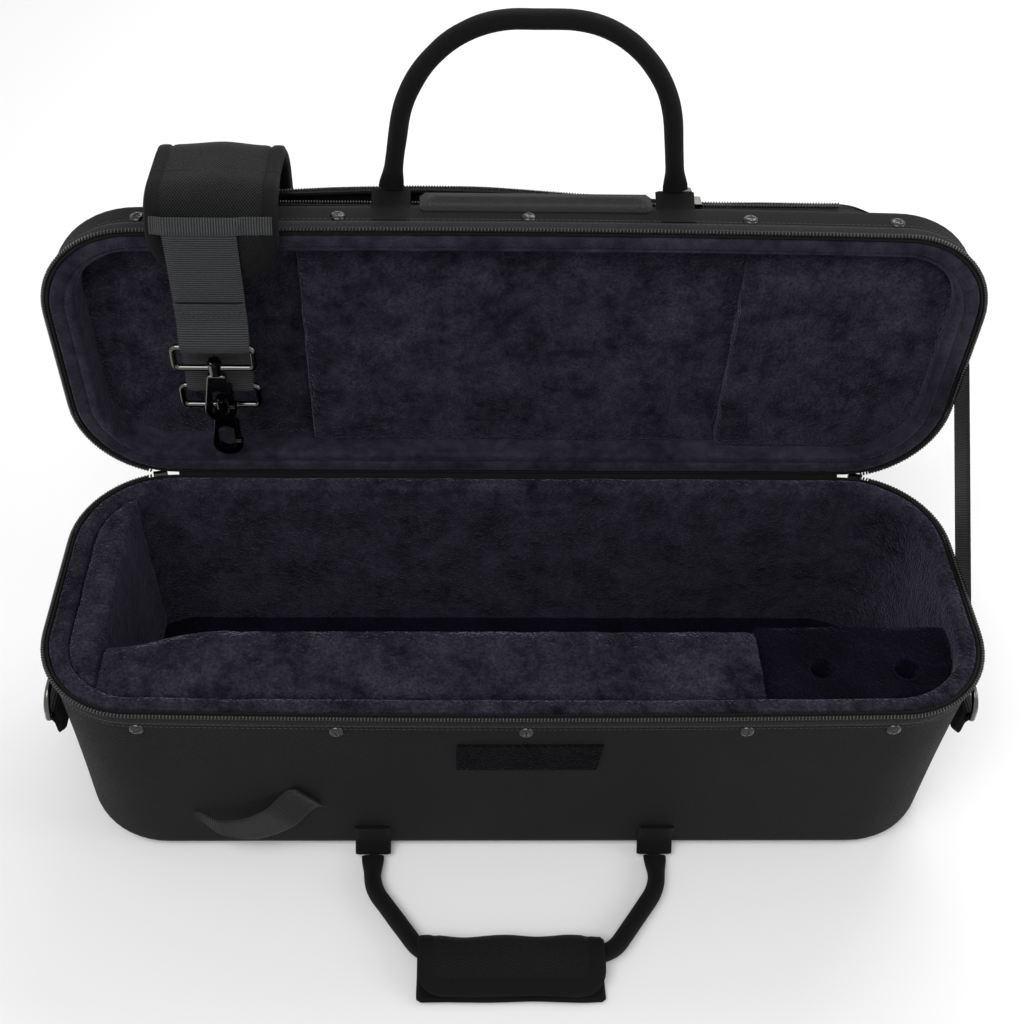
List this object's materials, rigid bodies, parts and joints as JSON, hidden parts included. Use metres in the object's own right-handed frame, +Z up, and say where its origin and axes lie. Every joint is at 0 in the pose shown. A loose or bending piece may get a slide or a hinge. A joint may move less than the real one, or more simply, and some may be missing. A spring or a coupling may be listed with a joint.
{
  "type": "trumpet case",
  "caption": "Soft-sided rectangular instrument case standing open, with a zipped lid, plush fitted inside, two carrying handles, a back pocket and a padded shoulder strap.",
  "frame": {"origin": "middle of the flat underside of the base", "axes": "+X along the case to its right end seen from the front, +Y towards the hinge and the lid, +Z up"},
  "size_m": [0.5564, 0.3556, 0.4453],
  "materials": {
    "cover_fabric": "black nylon with a fine diagonal weave",
    "hinge_cloth": "black nylon folded at the hinge",
    "frame_board": "thin board, unseen",
    "plush": "near-black plush with a soft nap",
    "border_plush": "smoother brushed padding round the lid",
    "webbing": "ribbed black webbing",
    "zipper_tape": "woven zipper tape",
    "zipper_coil": "black nylon coil teeth",
    "black_metal": "black nickel plating",
    "rivet_metal": "domed dark rivets",
    "hook_and_loop": "fuzzy loop pile",
    "ballistic_pad": "padded ballistic weave with bound edges",
    "handle_tube": "rolled handle with a lengthwise seam",
    "keeper_plastic": "moulded black plastic"
  },
  "bodies": {
    "base": {"base_cover": "cover_fabric", "base_frame": "frame_board", "base_lining": "plush", "floor_pad": "plush", "end_block": "plush", "front_block": "plush", "mouthpiece_block": "plush", "base_zipper_tape": "zipper_tape", "base_zipper_chain": "zipper_coil", "base_rivets": "rivet_metal", "hook_loop_patch": "hook_and_loop", "grab_loop": "webbing", "d_ring_tab_left": "webbing", "d_ring_tab_right": "webbing", "base_handle_tabs": "webbing", "hinge_fabric": "hinge_cloth", "stay_strap": "webbing"},
    "base_handle": {"base_handle": "handle_tube", "handle_wrap": "ballistic_pad"},
    "lid": {"lid_cover": "cover_fabric", "lid_frame": "frame_board", "lid_border": "border_plush", "lid_panel_left": "plush", "lid_panel_centre": "plush", "lid_panel_right": "plush", "lid_zipper_tape": "zipper_tape", "lid_zipper_chain": "zipper_coil", "lid_rivets": "rivet_metal", "lid_handle_tabs": "webbing", "lid_band": "webbing", "pocket_panel": "cover_fabric", "pocket_bottom": "cover_fabric", "pocket_inner_tape": "zipper_tape", "pocket_outer_tape": "zipper_tape", "pocket_inner_chain": "zipper_coil", "pocket_outer_chain": "zipper_coil", "strap_pad": "ballistic_pad", "strap_pad_front": "ballistic_pad", "pad_band_front": "webbing", "pad_band_rear": "webbing", "strap_web_front": "webbing", "strap_web_inner": "webbing", "strap_web_rear": "webbing", "strap_keeper": "keeper_plastic", "strap_ring_1": "black_metal", "strap_ring_2": "black_metal"},
    "lid_handle": {"lid_handle": "handle_tube"},
    "d_ring_left": {"d_ring_left": "black_metal"},
    "d_ring_right": {"d_ring_right": "black_metal"},
    "slider_left": {"slider_left": "black_metal"},
    "slider_right": {"slider_right": "black_metal"},
    "pull_left": {"pull_left": "black_metal"},
    "pull_right": {"pull_right": "black_metal"},
    "pocket_slider": {"pocket_slider": "black_metal"},
    "pocket_pull": {"pocket_pull": "black_metal"},
    "hook_1": {"hook_1": "black_metal"},
    "gate_1": {"gate_1": "black_metal"},
    "hook_2": {"hook_2": "black_metal"},
    "gate_2": {"gate_2": "black_metal"}
  },
  "joints": [
    {"name": "lid_hinge", "type": "hinge", "parent": "base", "child": "lid", "pos_m": [0, 0.091, 0.1506], "axis": [1, 0, 0], "range_deg": [0, 91.5], "deforming": ["hinge_fabric", "stay_strap", "strap_pad_front", "strap_web_front", "strap_web_inner"]},
    {"name": "base_handle_swing", "type": "hinge", "parent": "base", "child": "base_handle", "pos_m": [0.0025, -0.0985, 0.0062], "axis": [-1, 0, 0], "range_deg": [0, 50]},
    {"name": "lid_handle_swing", "type": "hinge", "parent": "lid", "child": "lid_handle", "pos_m": [0.008, 0.13151, 0.3376], "axis": [1, 0, 0], "range_deg": [-70, 24]},
    {"name": "d_ring_left_swing", "type": "hinge", "parent": "base", "child": "d_ring_left", "pos_m": [-0.2744, -0.046, 0.0985], "axis": [0, -1, 0], "range_deg": [0, 150]},
    {"name": "d_ring_right_swing", "type": "hinge", "parent": "base", "child": "d_ring_right", "pos_m": [0.2744, -0.046, 0.0985], "axis": [0, 1, 0], "range_deg": [0, 150]},
    {"name": "slider_left_run", "type": "hinge", "parent": "base", "child": "slider_left", "pos_m": [-0.214, 0.035, 0.15], "axis": [0, 0, 1], "range_deg": [0, 75]},
    {"name": "slider_right_run", "type": "hinge", "parent": "base", "child": "slider_right", "pos_m": [0.214, 0.035, 0.15], "axis": [0, 0, -1], "range_deg": [0, 75]},
    {"name": "pull_left_swing", "type": "hinge", "parent": "slider_left", "child": "pull_left", "pos_m": [-0.22591, 0.09625, 0.1435], "axis": [0.9816, 0.1908, 0], "range_deg": [0, 90]},
    {"name": "pull_right_swing", "type": "hinge", "parent": "slider_right", "child": "pull_right", "pos_m": [0.22591, 0.09625, 0.1435], "axis": [0.9816, -0.1908, 0], "range_deg": [0, 90]},
    {"name": "pocket_slider_run", "type": "slide", "parent": "lid", "child": "pocket_slider", "axis": [1, 0, 0], "range_m": [-0.272, 0.08]},
    {"name": "pocket_pull_swing", "type": "hinge", "parent": "pocket_slider", "child": "pocket_pull", "pos_m": [0.098, 0.13774, 0.33094], "axis": [1, 0, 0], "range_deg": [0, 90]},
    {"name": "hook_1_swivel", "type": "hinge", "parent": "lid", "child": "hook_1", "pos_m": [-0.175, 0.07825, 0.25197], "axis": [0, 0.0262, 0.9997], "continuous": true},
    {"name": "gate_1_swing", "type": "hinge", "parent": "hook_1", "child": "gate_1", "pos_m": [-0.1688, 0.07786, 0.23717], "axis": [0, 0.9997, -0.0262], "range_deg": [0, 25], "stiffness_Nm_per_rad": 0.01, "springref_deg": -20.05},
    {"name": "hook_2_swivel", "type": "hinge", "parent": "lid", "child": "hook_2", "pos_m": [-0.177, 0.09021, 0.21214], "axis": [0, 0.0262, 0.9997], "continuous": true},
    {"name": "gate_2_swing", "type": "hinge", "parent": "hook_2", "child": "gate_2", "pos_m": [-0.1708, 0.08982, 0.19735], "axis": [0, 0.9997, -0.0262], "range_deg": [0, 25], "stiffness_Nm_per_rad": 0.01, "springref_deg": -20.05}
  ]
}
